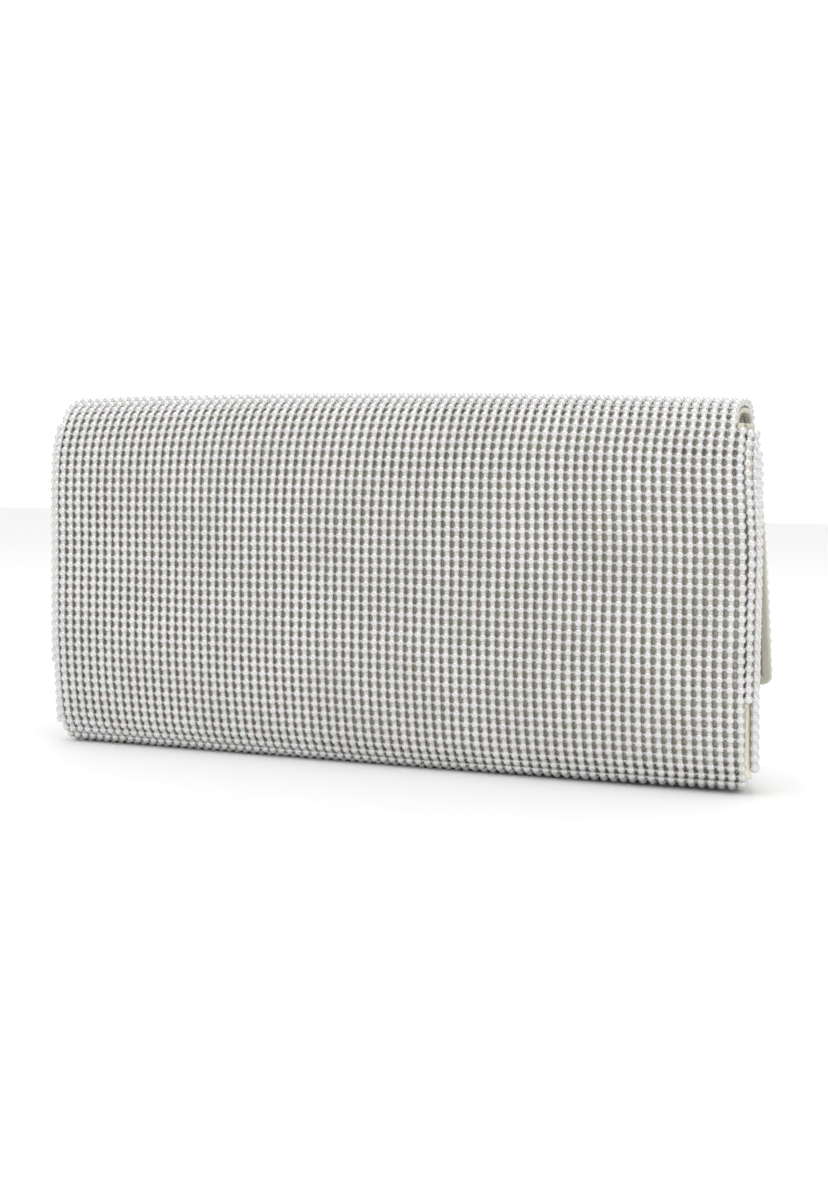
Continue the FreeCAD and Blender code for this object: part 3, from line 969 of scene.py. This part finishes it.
# Carried-over parts -----------------------------------------------------------------------------
def paint_nodes():
    looks = {"snap_metal": NICKEL, "magnet": FERRITE, "board": CARD, "silver_beads": SILVER,
             "satin_backing": SATIN, "satin_lining": LINING_SATIN, "satin_binding": BINDING_SATIN,
             "interlining": FELT}
    for sub in frame["record"]["subparts"]:
        node = frame["nodes"][sub["node"]]
        for material_slot in node.material_slots:
            material_slot.material = looks[sub["material_slot"]]


# Room, light and camera -------------------------------------------------------------------------
def make_floor():
    mat, shader = material("pale_floor", (0.93, 0.93, 0.93), 0.75)
    mat.node_tree.links.new(mixed(mat, noise(mat, 3, 2), (0.93, 0.93, 0.93), (0.95, 0.95, 0.95)),
                            shader.inputs["Base Color"])
    size = 4000.0
    floor = new_object("floor", [(-size, -size, 0), (size, -size, 0), (size, size, 0), (-size, size, 0)],
                       [(0, 1, 2, 3)], mat, rounded=False)


def facing(world, direction, low, high, start, stop):
    """A value of the world that goes from low to high as a direction turns towards another."""
    nodes, link = world.node_tree.nodes, world.node_tree.links.new
    coords = nodes.new("ShaderNodeTexCoord")
    dot = nodes.new("ShaderNodeVectorMath")
    dot.operation = "DOT_PRODUCT"
    dot.inputs[1].default_value = Vector(direction).normalized()
    link(coords.outputs["Generated"], dot.inputs[0])
    span = nodes.new("ShaderNodeMapRange")
    span.interpolation_type = "SMOOTHSTEP"
    for key, value in (("From Min", start), ("From Max", stop), ("To Min", low), ("To Max", high)):
        span.inputs[key].default_value = value
    link(dot.outputs["Value"], span.inputs["Value"])
    return span.outputs["Result"]


def make_lights():
    """A white room, brighter behind the bag and on the camera's side, with a darker upright gap
    beside the camera."""
    world = bpy.data.worlds.new("studio")
    world.use_nodes = True
    bpy.context.scene.world = world
    nodes, link = world.node_tree.nodes, world.node_tree.links.new

    def combined(operation, first, second):
        node = nodes.new("ShaderNodeMath")
        node.operation = operation
        link(first, node.inputs[0])
        link(second, node.inputs[1])
        return node.outputs[0]
    camera_side = (-0.415, 0.908, 0.0)
    front_room = facing(world, camera_side, 0.68, 1.34, 0.0, 0.8)
    rear_room = facing(world, camera_side, 0.55, 0.0, -0.7, -0.1)
    room = combined("ADD", front_room, rear_room)
    gap = (-0.25, 0.968, 0.0)
    left = facing(world, (0.968, 0.25, 0.0), 0.0, 1.0, -0.38, -0.10)
    right = facing(world, (-0.968, -0.25, 0.0), 0.0, 1.0, -0.38, -0.10)
    ahead = facing(world, gap, 0.0, 0.55, 0.35, 0.75)
    dark = combined("MULTIPLY", combined("MULTIPLY", left, right), ahead)
    lit = nodes.new("ShaderNodeMath")
    lit.operation = "SUBTRACT"
    lit.inputs[0].default_value = 1.0
    link(dark, lit.inputs[1])
    link(combined("MULTIPLY", room, lit.outputs[0]), nodes["Background"].inputs["Strength"])
    nodes["Background"].inputs["Color"].default_value = (1, 1, 1, 1)
    light = bpy.data.lights.new("top", "AREA")
    light.shape = "DISK"
    light.size = 1.4
    light.energy = 8.0
    obj = bpy.data.objects.new("top", light)
    obj.location = (-0.1, 0.3, 1.5)
    obj.rotation_euler = (Vector((0, 0, 0.06)) - obj.location).to_track_quat("-Z", "Y").to_euler()
    bpy.context.collection.objects.link(obj)


def make_camera():
    """Behind the bag, 25 degrees round and 3 degrees above, with a slight roll."""
    camera = bpy.data.objects.new("camera", bpy.data.cameras.new("camera"))
    back = node_box("back_bead_mesh")[1][1] - BALL
    place = Vector((-251.3, back + 517.4, 87.4))
    forward = Vector((0.4154, -0.9079, -0.0559)).normalized()
    up = Vector((0.0349, -0.0455, 0.9984))
    right = forward.cross(up).normalized()
    up = right.cross(forward)
    turn = Matrix((right, up, -forward)).transposed().to_4x4()
    camera.matrix_world = Matrix.Translation(place * MM) @ turn
    camera.data.lens = 58.1
    camera.data.sensor_width = 36.0
    camera.data.clip_start = 0.01
    bpy.context.collection.objects.link(camera)
    bpy.context.scene.camera = camera


make_camera()
make_ball_mesh()
make_strip_cloth()
make_gusset_cloth()
make_fold_bindings()
make_flap_binding()
make_opening_binding()
make_pocket()
paint_nodes()
make_floor()
make_lights()
bpy.context.scene.view_settings.view_transform = "Standard"
